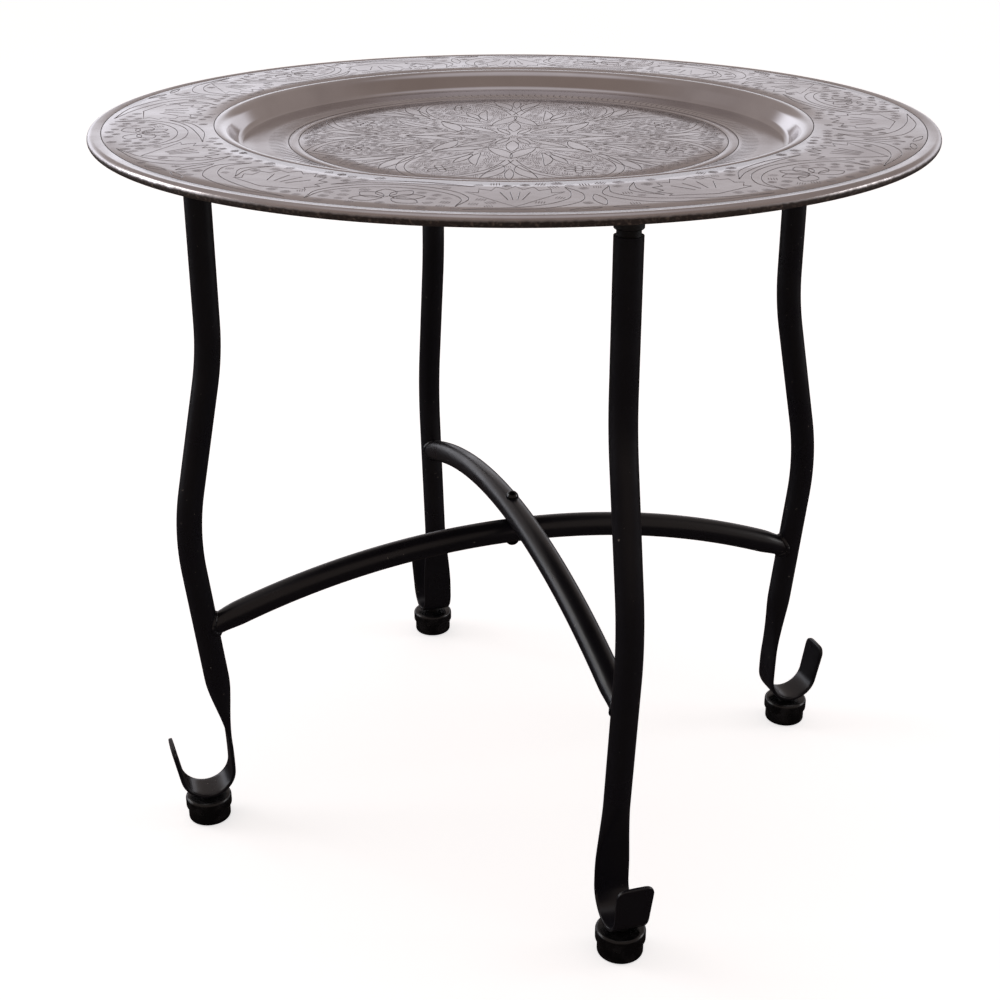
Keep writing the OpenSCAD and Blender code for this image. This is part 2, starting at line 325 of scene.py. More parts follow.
# %% Lamps
def softbox(name, place, size, power, target=(0, 0, 0.3)):
    lamp = bpy.data.lights.new(name, "AREA")
    lamp.shape = "RECTANGLE"
    lamp.size, lamp.size_y = size
    lamp.energy = power
    box = new_object(name, lamp)
    box.location = place
    box.rotation_euler = (Vector(target) - Vector(place)).to_track_quat("-Z", "Y").to_euler()


softbox("left_softbox", (-1.84, 1.05, 1.14), (1.2, 0.8), 8)
softbox("right_softbox", (2.16, -0.46, 0.75), (0.8, 0.8), 6)


# %% [markdown]
# ## Finishes
#
# Each finish starts from what the real surface is and how it was made.
#
# * The tray is sheet brass with a silver-toned plating, spun, punched by hand and wiped, so it is a
#   metal with a satin roughness, faint rings from the spinning and soft hammer unevenness. Below
#   its widest line the rolled edge is dark, dull and rough.
# * The cuts of the engraving hold oxide and polish, which make them dark and dull. Their dark
#   colour is also painted shade in place of each cut's depth, as the lines lie on the sheet as
#   strips.
# * The stand is powder coated: satin black plastic baked on steel, with a fine orange-peel skin.
# * Feet and rests are moulded rubber, smooth where the mould was smooth.

# %% Shader scaffolding
def start_material(name):
    """A material with a Principled shader alone, and Object coordinates in millimetres."""
    material = bpy.data.materials.new(name)
    material.use_nodes = True
    tree = material.node_tree
    tree.nodes.clear()
    shader = add_node(tree, "ShaderNodeBsdfPrincipled")
    add_node(tree, "ShaderNodeOutputMaterial", {"Surface": shader.outputs[0]})
    where = add_node(tree, "ShaderNodeTexCoord")
    in_mm = add_node(tree, "ShaderNodeVectorMath",
                     {0: where.outputs["Object"], 1: (1000, 1000, 1000)}, operation="MULTIPLY")
    return material, tree, shader, in_mm.outputs[0]


# %% Plated brass for the tray
PLATE_LIGHT = srgb("#CFCACB")
PLATE_DULL = srgb("#BDB7B8")
LOW_EDGE_DARK = srgb("#3F3632")
LOW_EDGE_SPECKS = srgb("#6E6057")
BLOTCH_MM = 55        # size of the soft cloudiness that hand wiping leaves
SPIN_MM = 1.6         # spacing of the faint rings from spinning; the real ones are much finer
WIPE_MM = 30          # size of the patches that polishing left more or less dull
DIMPLE_MM = 14        # spacing of the soft hammer marks
WALL_ROUGH = 0.12
LOW_EDGE_ROUGH = 0.62


def plated_brass():
    material, tree, shader, mm = start_material("plated_brass_hand_punched")
    height = add_node(tree, "ShaderNodeSeparateXYZ", {0: mm}).outputs["Z"]
    flat = add_node(tree, "ShaderNodeVectorMath", {0: mm, 1: (1, 1, 0)}, operation="MULTIPLY")
    radius = add_node(tree, "ShaderNodeVectorMath", {0: flat.outputs[0]},
                      operation="LENGTH").outputs["Value"]
    tone = ramp(tree, noise(tree, mm, 1 / BLOTCH_MM, 4.0), 0.35, 0.7)
    plate = blend(tree, tone, PLATE_LIGHT, PLATE_DULL)
    # the underside of the rolled edge, below its widest line: darker, duller and less metallic
    ragged = maths(tree, "MULTIPLY_ADD", noise(tree, mm, 0.22, 5.0), 1.6, height)
    low = ramp(tree, ragged, rim_middle_z + 2.3, rim_middle_z + 0.9)
    out = ramp(tree, radius, rim_radius - 0.6, rim_radius + 0.9)
    dark_low_edge = maths(tree, "MULTIPLY", low, out)
    speckle = ramp(tree, noise(tree, mm, 0.55, 3.0), 0.52, 0.72)
    low_edge_colour = blend(tree, speckle, LOW_EDGE_DARK, LOW_EDGE_SPECKS)
    tree.links.new(blend(tree, dark_low_edge, plate, low_edge_colour), shader.inputs["Base Color"])
    tree.links.new(ramp(tree, dark_low_edge, 0.0, 1.0, 1.0, 0.3), shader.inputs["Metallic"])
    # the plain wall of the well: the spinning tool burnished it, and no punch touched it
    past_floor = ramp(tree, radius, WALL_IN - 4, WALL_IN + 2)
    to_flange = ramp(tree, radius, WALL_OUT + 3, WALL_OUT - 3)
    wall = maths(tree, "MULTIPLY", past_floor, to_flange)
    satin = ramp(tree, noise(tree, mm, 1 / WIPE_MM, 2.0), 0.3, 0.7, 0.17, 0.24)
    smooth = add_node(tree, "ShaderNodeMix", {0: wall, 2: satin, 3: WALL_ROUGH})
    rough = add_node(tree, "ShaderNodeMix", {0: dark_low_edge, 2: smooth.outputs[0], 3: LOW_EDGE_ROUGH})
    tree.links.new(rough.outputs[0], shader.inputs["Roughness"])
    # spun rings, and hammer marks on the parts that were punched
    rings = add_node(tree, "ShaderNodeCombineXYZ", {0: radius})
    spun = noise(tree, rings.outputs[0], 1 / SPIN_MM, 2.0)
    hammer = noise(tree, mm, 1 / DIMPLE_MM, 1.0)
    fine = bumped(tree, spun, 0.05, 0.02 * MM)
    struck = ramp(tree, wall, 0.0, 1.0, 0.22, 0.04)
    tree.links.new(bumped(tree, hammer, struck, 0.30 * MM, Normal=fine), shader.inputs["Normal"])
    return material


# %% The other finishes
def cut_oxide_and_painted_shade(name, darkest, palest, metal, dullness):
    """Oxide and old polish in the cuts, and painted shade in place of each cut's depth: dull and
    dark. Shallow marks hold less of both.
    """
    material, tree, shader, mm = start_material(name)
    stain_and_shade = blend(tree, noise(tree, mm, 0.08, 3.0), srgb(darkest), srgb(palest))
    tree.links.new(stain_and_shade, shader.inputs["Base Color"])
    shader.inputs["Metallic"].default_value = metal
    shader.inputs["Roughness"].default_value = dullness
    return material


def coated_steel(name, base, worn_colour, low_rough, high_rough, peel_mm, chips):
    """Baked or brushed coating on steel: dark, dielectric, with a pebbled skin and a few chips."""
    material, tree, shader, mm = start_material(name)
    bare = ramp(tree, noise(tree, mm, 0.33, 6.0, Roughness=0.62), chips, chips + 0.015)
    tree.links.new(blend(tree, bare, srgb(base), srgb(worn_colour)), shader.inputs["Base Color"])
    satin = ramp(tree, noise(tree, mm, 0.03, 3.0), 0.3, 0.7, low_rough, high_rough)
    tree.links.new(satin, shader.inputs["Roughness"])
    peel = noise(tree, mm, 1 / peel_mm, 1.0)
    tree.links.new(bumped(tree, peel, 0.25, 0.05 * MM), shader.inputs["Normal"])
    return material


def moulded_rubber(name, base, dust, low_rough, high_rough):
    """Black rubber: smooth from the mould, with a grey bloom of dust in patches."""
    material, tree, shader, mm = start_material(name)
    bloom = noise(tree, mm, 0.12, 5.0)
    dusty = blend(tree, ramp(tree, bloom, 0.45, 0.8), srgb(base), srgb(dust))
    tree.links.new(dusty, shader.inputs["Base Color"])
    dull = ramp(tree, bloom, 0.3, 0.75, low_rough, high_rough)
    tree.links.new(dull, shader.inputs["Roughness"])
    grain = noise(tree, mm, 1.6, 2.0)
    tree.links.new(bumped(tree, grain, 0.08, 0.04 * MM), shader.inputs["Normal"])
    shader.inputs["IOR"].default_value = 1.52
    return material


# %% [markdown]
# ## The tray's sheet
#
# The tray is one disc of sheet metal, pressed to a shallow well and rolled over a wire at the edge.
# Anything that was spun is best drawn as a spun outline: one short list of arcs and straight
# lines, turned round the axis. The engraver's circles are real grooves in that outline, so they
# catch light. Each groove is a shallow V, under half a millimetre deep.

# %% Sizes from the frame
tray_low, tray_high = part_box("tray")
TRAY_R = tray_high.x / MM
TOP_Z = tray_high.z / MM
SHEET = 1.2
RIM_HALF = 3.15                  # half the rolled edge's thickness
FLANGE_Z = TOP_Z - 0.15          # the rolled edge stands a hair above the flange
WELL_Z = tray_low.z / MM + SHEET
rim_radius = TRAY_R - RIM_HALF
rim_middle_z = TOP_Z - RIM_HALF
WALL_IN, WALL_OUT = 158.0, 174.0   # the plain wall of the well, as radii
GROOVES = {"outer": 241.8, "shoulder": 177.5, "band_out": 134.6, "band_in": 128.6}
GROOVE_HALF = 0.55
GROOVE_DEEP = 0.30


# %% Outline and sheet
def groove(radius, z):
    return [(radius - GROOVE_HALF, z), (radius, z - GROOVE_DEEP), (radius + GROOVE_HALF, z)]


def tray_outline():
    """The section of the sheet: outwards along the top from the axis, and back along the
    underside."""
    slope = 60
    heel, shoulder = 5.0, 7.2
    shoulder_r = 175.0
    lean = math.radians(slope)
    wall = (FLANGE_Z - WELL_Z - (heel + shoulder) * (1 - math.cos(lean))) / math.tan(lean)
    heel_r = shoulder_r - (heel + shoulder) * math.sin(lean) - wall
    heel_c, shoulder_c = (heel_r, WELL_Z + heel), (shoulder_r, FLANGE_Z - shoulder)
    roll_c = (rim_radius, rim_middle_z)
    top = [(0, WELL_Z)] + [(r, WELL_Z) for r in (30, 60, 90, 115)]
    for name in ("band_in", "band_out"):
        top += groove(GROOVES[name], WELL_Z)
    top += [(150, WELL_Z)] + arc_points(heel_c, heel, 270, 270 + slope, 8)
    top += arc_points(shoulder_c, shoulder, 90 + slope, 90, 10)
    top += groove(GROOVES["shoulder"], FLANGE_Z)
    top += [(r, FLANGE_Z) for r in (190, 205, 220, 232)]
    top += groove(GROOVES["outer"], FLANGE_Z)
    top += arc_points(roll_c, RIM_HALF, 104, -208, 40)
    inside = arc_points(roll_c, RIM_HALF - SHEET, -208, 88, 26)
    under = [(235, FLANGE_Z - SHEET), (200, FLANGE_Z - SHEET)]
    under += arc_points(shoulder_c, shoulder - SHEET, 90, 90 + slope, 10)
    under += arc_points(heel_c, heel + SHEET, 270 + slope, 270, 8)
    under += [(120, WELL_Z - SHEET), (60, WELL_Z - SHEET), (0, WELL_Z - SHEET)]
    return (top + inside + under)[::-1]


plate_metal = plated_brass()
# The cuts' dark colour is oxide, and also painted shade in place of the depth of cuts drawn as
# strips on the sheet.
cut_oxide_and_shade = cut_oxide_and_painted_shade("oxidised_cut_and_painted_shade", "#3C3536", "#665D5F", 0.5, 0.5)
# The punch marks' grey is tarnish, and also painted shade in place of each punched dent.
punch_tarnish_and_shade = cut_oxide_and_painted_shade("tarnished_punch_mark_and_painted_shade", "#7A7274", "#9C9496", 0.9, 0.40)
tray_plate = turned("tray_plate", tray_outline(), 360, smooth_angle=50)
finish_piece(tray_plate, "tray", plate_metal)
print("tray plate:", len(tray_plate.data.polygons), "faces")


# %% [markdown]
# ## The engraver's lines
#
# On the real tray every line was cut with a small chisel and a hammer. The cut pushes up a fine lip
# on each side and leaves a dark floor. Here the centre of each line is drawn once, for one sector
# of the pattern, and a Geometry Nodes tree does the rest: it sweeps a lip and a floor along the
# lines, and copies the sector round the tray. Drawing one sector and turning it is also how an
# engraver marks out such a pattern.
# The swept floor is a dark strip a hair above the sheet: its colour is oxide, and painted shade in
# place of the cut's depth.

# %% Line shapes
def polar(angle, radius):
    a = math.radians(angle)
    return np.array((radius * math.cos(a), radius * math.sin(a)))


def smooth_path(points, steps=10):
    """A curve through the points (Catmull-Rom), as an array of closely spaced points."""
    p = [2 * points[0] - points[1]] + list(points) + [2 * points[-1] - points[-2]]
    out = []
    for i in range(1, len(p) - 2):
        for k in range(steps):
            t = k / steps
            out.append(0.5 * (2 * p[i] + (p[i + 1] - p[i - 1]) * t
                              + (2 * p[i - 1] - 5 * p[i] + 4 * p[i + 1] - p[i + 2]) * t * t
                              + (3 * p[i] - p[i - 1] - 3 * p[i + 1] + p[i + 2]) * t ** 3))
    out.append(np.array(points[-1], float))
    return np.array(out)


def sideways(path):
    """Unit normals, to the left of the direction of travel."""
    d = np.gradient(path, axis=0)
    d /= np.linalg.norm(d, axis=1)[:, None]
    return np.stack([-d[:, 1], d[:, 0]], 1)


def leaf(start, end, width, bend=0.0, steps=14):
    """A pointed leaf between two points, as a closed outline."""
    t = np.linspace(0, 1, steps + 1)[:, None]
    along = end - start
    left = np.array((-along[1], along[0])) / np.linalg.norm(along)
    middle = start + along * t + left * bend * np.sin(math.pi * t)
    half = left * width / 2 * np.sin(math.pi * t) ** 0.8
    return np.concatenate([middle + half, (middle - half)[-2:0:-1]])


def flower(centre, directions, start, end, width, steps):
    """Petals that leave the middle of a flower in the given directions."""
    return [leaf(centre + start * polar(a, 1), centre + end * polar(a, 1), width, steps=steps)
            for a in directions]


def ribbon(points, widths):
    """A band that swells and tapers along a curve through (angle, radius) points, as a closed
    outline."""
    path = smooth_path([polar(*point) for point in points])
    share = np.linspace(0, 1, len(path))
    half = np.interp(share, np.linspace(0, 1, len(widths)), widths)[:, None] / 2
    side = sideways(path)
    return np.concatenate([path + side * half, (path - side * half)[::-1]])


# %% Lines of the well: an eight-pointed star under eight pointed arches
STAR_TURN = 71.0      # where the first point of the star lies, in degrees from +X
TIP_R = 65.0          # the star's points
NOTCH_R = 36.0        # the star's inner corners
ARCH_R = 126.5        # the arches' points
SECTOR = 45.0         # one eighth of the well
BAND_HALF = 2.3       # half the width of an arch's plain band


def arch_side(sign):
    """The middle of the plain band from a star point to the top of the arch beside it."""
    start, end = polar(0, TIP_R), polar(sign * SECTOR / 2, ARCH_R)
    c1 = start + 40 * polar(sign * 11, 1)
    c2 = end - 23 * polar(sign * (SECTOR / 2 + 62), 1)
    t = np.linspace(0, 1, 30)[:, None]
    return ((1 - t) ** 3 * start + 3 * (1 - t) ** 2 * t * c1 + 3 * (1 - t) * t * t * c2
            + t ** 3 * end)


def well_sector():
    """One eighth of the star, arches and leaves: its closed outlines and its open lines."""
    closed, open_lines = [], []
    for sign in (1, -1):
        closed.append(leaf(polar(0, TIP_R), polar(sign * SECTOR / 2, NOTCH_R), 9.2, sign * 1.2))
        path = arch_side(sign)
        side = sideways(path) * BAND_HALF
        open_lines += [path[1:] + side[1:], path[1:] - side[1:]]
        closed.append(leaf(polar(sign * 3.2, 82), polar(sign * 7.6, 119), 8.5, sign * -2.5))
        # two leaves at the foot of the arch, beside its middle line
        closed.append(leaf(polar(sign * (SECTOR / 2 - 2.5), 52),
                           polar(sign * (SECTOR / 2 - 9.5), 86), 5.4, sign * 2.5))
    for angle, start, end, width in ((0, 14, 46, 7.5), (0, 92, 121, 5.0),
                                     (SECTOR / 2, 6, 27, 4.6), (SECTOR / 2, 58, 84, 5.6)):
        closed.append(leaf(polar(angle, start), polar(angle, end), width))
    closed += flower(polar(SECTOR / 2, 100), [60 * k for k in range(6)], 2.0, 9.5, 4.6, 8)
    return closed, open_lines


# %% Lines of the flange: thistles, daisies and scrolls, six times round
FLANGE_TURN = -141.5     # where the first thistle lies, in degrees from +X
REPEAT = 60.0
THISTLES = (             # angle, radius, reach, teeth, spread, depth, waist
    (0, 226, 38, 9, 74, 5.0, 0.35),
    (34, 231, 43, 6, 38, 6.5, 0.08))
SCROLLS = (              # points as (angle, radius), and the widths along them
    (((8.5, 236), (8.2, 219), (11.5, 203), (17.5, 196), (24, 201), (27.5, 215), (27, 232)),
     (0, 4, 5.5, 6, 5.5, 4, 0)),
    (((7.5, 205), (12, 192), (20, 186.5), (28, 190)), (0, 4.5, 4.5, 0)),
    (((-12, 192), (-13.3, 209), (-9.4, 225), (-2, 234), (6, 238)), (0, 6, 8, 6, 0)),
    (((-7.6, 188), (-9.2, 204), (-6.6, 218)), (0, 5, 0)),
    (((41.4, 191), (42.4, 206), (41, 221), (36, 233), (28, 238)), (0, 6, 8, 6, 0)))
DAISY_ANGLE = 17.8
STEM_ANGLE = 44.7        # the plain leaf that stands by itself, with two small ones at its foot


def sawtooth(base_angle, base_r, reach, teeth, spread, depth, waist):
    """A thistle head: a saw-toothed fan that opens towards the middle of the tray. waist is how far
    from its foot the teeth start to spread. Returns its outline and its veins."""
    foot = polar(base_angle, base_r)
    inward = base_angle + 180
    rim = []
    for k in range(2 * teeth + 1):
        share = k / teeth - 1
        rim.append(foot + polar(inward + spread * share, reach * (1 - waist * share * share)
                                - (depth if k % 2 else 0)))
    veins = [np.array([foot + polar(inward + spread * share, reach * end) for end in (0.35, 0.72)])
             for share in (-0.36, -0.12, 0.12, 0.36)]
    return np.array([foot] + rim), veins


def flange_sector():
    """One sixth of the flange: two thistles, a daisy between scrolls, and leaves."""
    closed, open_lines = [], []
    for thistle in THISTLES:
        outline, veins = sawtooth(*thistle)
        closed.append(outline)
        open_lines += veins
    petals = [DAISY_ANGLE + 180 + (k - 2.5) * 44 for k in range(6)]
    closed += flower(polar(DAISY_ANGLE, 221), petals, 2.5, 18.5, 10.5, 10)
    closed += [ribbon(points, widths) for points, widths in SCROLLS]
    closed.append(leaf(polar(STEM_ANGLE, 208), polar(STEM_ANGLE, 231), 6.0))
    for side in (-1, 1):
        closed.append(leaf(polar(STEM_ANGLE + 0.6 * side, 235),
                           polar(STEM_ANGLE + 4.6 * side, 239), 3.6))
    return closed, open_lines


# %% Tree that cuts lines and copies a sector round the tray
LINE_SIZES = {"Cut_Width": 0.50 * MM, "Lip_Width": 0.90 * MM, "Lip_Height": 0.03 * MM,
              "Cut_Height": 0.075 * MM,    # a hair above the lip, so that both stay clean
              "Sunk": 0.12 * MM}           # how deep both run on into the sheet


def new_tree(name, inputs):
    """An empty Geometry Nodes tree with named inputs. Returns it with its inputs' sockets."""
    tree = bpy.data.node_groups.new(name, "GeometryNodeTree")
    face = tree.interface
    face.new_socket("Geometry", in_out="INPUT", socket_type="NodeSocketGeometry")
    for label, kind in inputs.items():
        face.new_socket(label, in_out="INPUT", socket_type=f"NodeSocket{kind}")
    face.new_socket("Geometry", in_out="OUTPUT", socket_type="NodeSocketGeometry")
    return tree, add_node(tree, "NodeGroupInput").outputs


def section_to_sweep(tree, width, height, depth):
    """A closed section to sweep: flat on top, a little wider at its foot, from depth below the
    sheet to height above it. With curve normals set to Z up, a section's own Y points down."""
    tall = maths(tree, "ADD", height, depth)
    top = maths(tree, "MULTIPLY", width, 0.8)
    shape = add_node(tree, "GeometryNodeCurvePrimitiveQuadrilateral",
                     {"Height": tall, "Bottom Width": top, "Top Width": width, "Offset": 0.0},
                     mode="TRAPEZOID")
    half = maths(tree, "MULTIPLY", maths(tree, "SUBTRACT", depth, height), 0.5)
    place = add_node(tree, "ShaderNodeCombineXYZ", {"Y": half})
    moved = add_node(tree, "GeometryNodeTransform", {"Geometry": shape.outputs[0],
                                                     "Translation": place.outputs[0]})
    return moved.outputs[0]


def end_tree(tree, geometry, given):
    """Every tree ends alike: real geometry, plate metal all over, and the cut's finish, oxide with
    painted shade, where a face is marked dark."""
    real = add_node(tree, "GeometryNodeRealizeInstances", {0: geometry})
    metal = add_node(tree, "GeometryNodeSetMaterial", {"Geometry": real.outputs[0],
                                                       "Material": given["Plate"]})
    dark = add_node(tree, "GeometryNodeInputNamedAttribute", {"Name": "dark"}, data_type="BOOLEAN")
    cuts = add_node(tree, "GeometryNodeSetMaterial", {"Geometry": metal.outputs[0],
                                                      "Selection": dark.outputs[0],
                                                      "Material": given["Cut"]})
    add_node(tree, "NodeGroupOutput", {0: cuts.outputs[0]})
    return tree


def lines_tree():
    tree, given = new_tree("cut_lines_round_the_tray", {
        "Copies": "Int", "First Angle": "Float", "Cut Width": "Float", "Cut Height": "Float",
        "Lip Width": "Float", "Lip Height": "Float", "Sunk": "Float", "Plate": "Material",
        "Cut": "Material"})
    wires = add_node(tree, "GeometryNodeMeshToCurve", {0: given["Geometry"]})
    curves = add_node(tree, "GeometryNodeSetCurveNormal", {0: wires.outputs[0]}, mode="Z_UP")
    swept = []
    for part in ("Lip", "Cut"):
        section = section_to_sweep(tree, given[f"{part} Width"], given[f"{part} Height"],
                                   given["Sunk"])
        sweep = add_node(tree, "GeometryNodeCurveToMesh", {"Curve": curves.outputs[0],
                                                           "Profile Curve": section,
                                                           "Fill Caps": True})
        swept.append(sweep.outputs[0])
    marked = add_node(tree, "GeometryNodeStoreNamedAttribute",
                      {"Geometry": swept[1], "Name": "dark", "Value": True},
                      data_type="BOOLEAN", domain="FACE")
    both = add_node(tree, "GeometryNodeJoinGeometry", {0: swept[0]})
    tree.links.new(marked.outputs[0], both.inputs[0])
    number = add_node(tree, "GeometryNodeInputIndex")
    step = maths(tree, "DIVIDE", math.tau, given["Copies"])
    turn = maths(tree, "MULTIPLY_ADD", number.outputs[0], step, given["First Angle"])
    spin = add_node(tree, "ShaderNodeCombineXYZ", {"Z": turn})
    seats = add_node(tree, "GeometryNodePoints", {"Count": given["Copies"]})
    copies = add_node(tree, "GeometryNodeInstanceOnPoints", {"Points": seats.outputs[0],
                                                             "Instance": both.outputs[0],
                                                             "Rotation": spin.outputs[0]})
    return end_tree(tree, copies.outputs[0], given)


def run_tree(piece, tree, **values):
    """Adds the tree to the piece, sets its named inputs by their identifiers, and bakes it."""
    modifier = piece.modifiers.new("nodes", "NODES")
    modifier.node_group = tree
    sockets = {s.name: s.identifier for s in tree.interface.items_tree if s.in_out == "INPUT"}
    for name, value in values.items():
        modifier[sockets[name.replace("_", " ")]] = value
    return baked(piece)


LINES = lines_tree()


def wire_object(name, closed, open_lines, z):
    """The lines as bare edges, for the tree to sweep."""
    vertices, edges = [], []
    for path, ring in [(c, True) for c in closed] + [(o, False) for o in open_lines]:
        first = len(vertices)
        vertices += [(x * MM, y * MM, z * MM) for x, y in path]
        edges += [(first + k, first + k + 1) for k in range(len(path) - 1)]
        if ring:
            edges.append((first + len(path) - 1, first))
    mesh = bpy.data.meshes.new(name)
    mesh.from_pydata(vertices, edges, [])
    return new_object(name, mesh)


def ride_on_tray(piece):
    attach(piece, BODY["tray"])
    return piece


def engrave(name, closed, open_lines, z, copies, first):
    wires = wire_object(name, closed, open_lines, z)
    run_tree(wires, LINES, Copies=copies, First_Angle=math.radians(first), Plate=plate_metal,
             Cut=cut_oxide_and_shade, **LINE_SIZES)
    ride_on_tray(wires)


well_closed, well_open = well_sector()
engrave("tray_well_lines", well_closed, well_open, WELL_Z, 8, STAR_TURN)
flange_closed, flange_open = flange_sector()
engrave("tray_flange_lines", flange_closed, flange_open, FLANGE_Z, 6, FLANGE_TURN)

# %% [markdown]
# ## Circles
#
# The four circles are grooves in the sheet already. What a groove lacks is its dark floor, so a
# thin ring of the oxidised finish is laid in the bottom of each V: oxide, and painted shade in
# the bottom of the groove.

# %% Dark floors of the circles
def circle_floors():
    outlines = []
    for r in GROOVES.values():
        z = WELL_Z if r < WALL_IN else FLANGE_Z
        half, bottom = GROOVE_HALF * 0.62, z - GROOVE_DEEP
        outlines.append([(r - half, bottom + 0.16), (r + half, bottom + 0.16), (r, bottom - 0.1)])
    floors = join_pieces("tray_circle_floors", [turned("ring", o, 360) for o in outlines])
    floors.data.materials.append(cut_oxide_and_shade)
    return ride_on_tray(floors)


circle_floors()

# %% [markdown]
# ## Punch marks
#
# The ground between the lines is filled with thousands of punch marks: small crescents in the well,
# combs of short parallel cuts on the flange, and a ladder of commas round the well's border. One
# mark is one to four thin tiles of a few faces each. The places are a jittered grid with the
# drawn shapes masked out, worked out once with a fixed seed, and a second tree puts a mark on
# each place with its own turn and size.
# The tiles' grey is tarnish, and also painted shade in place of the dent each punch leaves, since
# the tiles lie on the sheet.

# %% One mark
MARK_FOOT, MARK_TOP = -0.12, 0.03     # from inside the sheet to just above it
CUT_APART = 1.3                       # from one cut of a punch to the next


def stroke(outline):
    """One cut of a punch, as the vertices and faces of a thin closed tile."""
    n = len(outline)
    vertices = [(x, y, z) for z in (MARK_FOOT, MARK_TOP) for x, y in outline]
    faces = [list(range(n))[::-1], list(range(n, 2 * n))]
    faces += [[k, (k + 1) % n, n + (k + 1) % n, n + k] for k in range(n)]
    return vertices, faces


def mark_object(name, outlines):
    vertices, faces = [], []
    for outline in outlines:
        v, f = stroke(outline)
        faces += [[i + len(vertices) for i in face] for face in f]
        vertices += v
    mark = make_object(name, vertices, faces, 30)
    dark = mark.data.attributes.new("dark", "BOOLEAN", "FACE")
    dark.data.foreach_set("value", [True] * len(faces))
    return mark


def bent_dash(length, width, bend, steps=3):
    """A short cut, bent like a fingernail's, drawn as a closed outline round its middle line."""
    t = np.linspace(0, 1, steps + 1)
    x = (t - 0.5) * length
    y = bend * (1 - (2 * t - 1) ** 2)
    half = width / 2 * np.sin(np.pi * (0.12 + 0.76 * t))
    return list(zip(x, y - half)) + list(zip(x[::-1], (y + half)[::-1]))


def row_of_cuts(places, length, shorter, width, bend):
    """Cuts side by side. The places count from the middle, and the outer cuts are shorter."""
    return [np.array(bent_dash(length - shorter * abs(k), width, bend, 2)) + (0, CUT_APART * k)
            for k in places]


scale_mark = mark_object("scale_mark", row_of_cuts((-1, 0, 1), 4.6, 0.5, 0.55, 0.5))
comb = mark_object("comb_mark", row_of_cuts((-1.5, -0.5, 0.5, 1.5), 5.6, 0.9, 0.62, 0.0))
comma = mark_object("comma_mark", [bent_dash(10.5, 0.85, 1.5, 5)])


# %% Where marks may go
def near_lines(points, paths, reach):
    """Which points lie within reach of any of the paths."""
    hit = np.zeros(len(points), bool)
    for path in paths:
        a, b = path[:-1], path[1:]
        d = b - a
        long = (d * d).sum(1)
        t = ((points[:, None, :] - a) * d).sum(2) / np.maximum(long, 1e-9)
        gap = points[:, None, :] - (a + np.clip(t, 0, 1)[:, :, None] * d)
        hit |= (gap ** 2).sum(2).min(1) < reach * reach
    return hit


def inside(points, outline):
    """Which points lie inside a closed outline, by counting crossings."""
    x, y = points[:, 0, None], points[:, 1, None]
    x0, y0 = outline[:, 0], outline[:, 1]
    x1, y1 = np.roll(x0, -1), np.roll(y0, -1)
    straddles = (y0 > y) != (y1 > y)
    cross = x < (x1 - x0) * (y - y0) / np.where(y1 == y0, 1e-9, y1 - y0) + x0
    return (straddles & cross).sum(1) % 2 == 1


def inside_or_near(points, outlines, margin):
    """Which points lie inside any closed outline, or within the margin of its line."""
    hit = np.zeros(len(points), bool)
    for outline in outlines:
        hit |= inside(points, outline)
        hit |= near_lines(points, [np.vstack([outline, outline[:1]])], margin)
    return hit


ROW_GAP = 0.866       # rows of a hexagonal grid, for a pitch of 1


def jittered_grid(reach, pitch, jitter, seed):
    """Points of a hexagonal grid, each pushed a little out of line."""
    dice = random.Random(seed)
    rows = int(reach / (pitch * ROW_GAP)) + 1
    points = []
    for j in range(-rows, rows + 1):
        for i in range(-rows, rows + 1):
            x = (i + 0.5 * (j % 2)) * pitch + dice.uniform(-jitter, jitter) * pitch
            y = j * pitch * ROW_GAP + dice.uniform(-jitter, jitter) * pitch
            points.append((x, y))
    points = np.array(points)
    return points[np.linalg.norm(points, axis=1) < reach]


def into_sector(points, sector, first):
    """Each point turned back into the sector that was drawn."""
    angle = np.degrees(np.arctan2(points[:, 1], points[:, 0])) - first
    folded = np.radians((angle + sector / 2) % sector - sector / 2)
    r = np.linalg.norm(points, axis=1)
    return np.stack([r * np.cos(folded), r * np.sin(folded)], 1)


def with_neighbours(shapes, sector):
    """The drawn sector's shapes, and the same shapes in the sector before it and after it."""
    turns = []
    for k in (-1, 0, 1):
        c, s = math.cos(math.radians(k * sector)), math.sin(math.radians(k * sector))
        turns.append(np.array([[c, s], [-s, c]]))
    return [shape @ turn for shape in shapes for turn in turns]


# %% Tree that sets a mark on each place
def marks_tree():
    tree, given = new_tree("marks_on_places", {
        "Mark": "Object", "Smallest": "Float", "Largest": "Float", "Seed": "Int",
        "Plate": "Material", "Cut": "Material"})
    shape = add_node(tree, "GeometryNodeObjectInfo", {"Object": given["Mark"]})
    turn = add_node(tree, "GeometryNodeInputNamedAttribute", {"Name": "turn"}, data_type="FLOAT")
    spin = add_node(tree, "ShaderNodeCombineXYZ", {"Z": turn.outputs[0]})
    size = add_node(tree, "FunctionNodeRandomValue",
                    {2: given["Smallest"], 3: given["Largest"], "Seed": given["Seed"]},
                    data_type="FLOAT").outputs[1]
    scale = add_node(tree, "ShaderNodeCombineXYZ", {0: size, 1: size, 2: 1.0})
    marks = add_node(tree, "GeometryNodeInstanceOnPoints", {"Points": given["Geometry"],
                                                            "Instance": shape.outputs["Geometry"],
                                                            "Rotation": spin.outputs[0],
                                                            "Scale": scale.outputs[0]})
    return end_tree(tree, marks.outputs[0], given)


MARKS = marks_tree()


